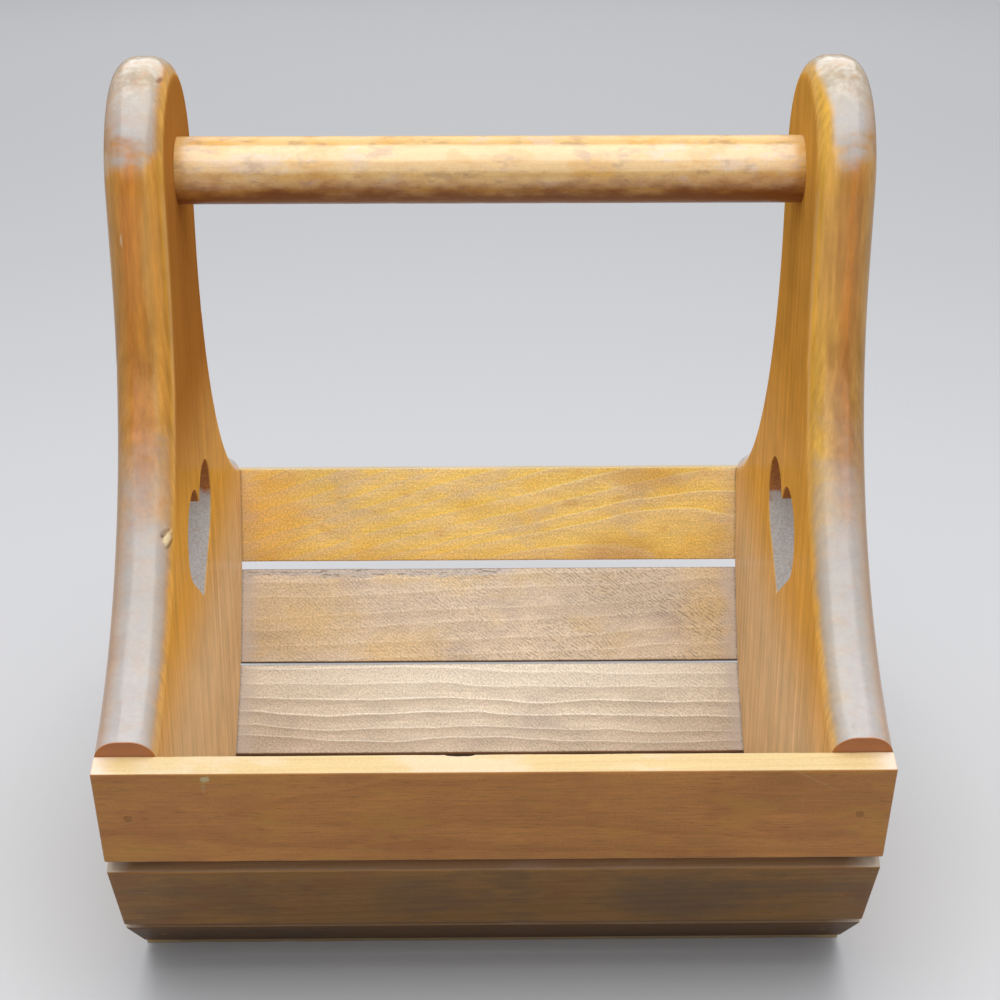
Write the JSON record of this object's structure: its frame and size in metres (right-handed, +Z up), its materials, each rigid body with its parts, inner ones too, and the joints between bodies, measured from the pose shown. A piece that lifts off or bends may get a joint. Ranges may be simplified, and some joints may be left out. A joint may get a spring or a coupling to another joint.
{
  "type": "slatted carry tote",
  "caption": "Open wooden carry tote: arched end panels pierced by hearts, a round handle between them, and nailed slats for front, back and floor.",
  "frame": {"origin": "on the surface the tote stands on, under the middle of its floor", "axes": "+X along the slats and the handle, to the right seen from the front; +Y from front to back; +Z up"},
  "size_m": [0.28, 0.2902, 0.3433],
  "materials": {
    "panel_wood": "orange-brown varnished pine, glossy",
    "slat_wood": "stained pine, satin outside and matte inside",
    "handle_wood": "honey-coloured varnished dowel, worn",
    "steel": "plain",
    "wood_filler": "matte putty"
  },
  "bodies": {
    "root": {"left_panel": "panel_wood", "right_panel": "panel_wood", "handle": "handle_wood", "handle_screws": "steel", "handle_screw_plugs": "panel_wood", "front_slat_upper": "slat_wood", "front_slat_middle": "slat_wood", "front_slat_lower": "slat_wood", "rear_slat_upper": "slat_wood", "rear_slat_middle": "slat_wood", "rear_slat_lower": "slat_wood", "bottom_slat_front": "slat_wood", "bottom_slat_middle": "slat_wood", "bottom_slat_rear": "slat_wood", "front_nails": "steel", "rear_nails": "steel", "bottom_nails": "steel", "front_nail_fillers": "wood_filler", "rear_nail_fillers": "wood_filler", "bottom_nail_fillers": "wood_filler"}
  },
  "joints": []
}
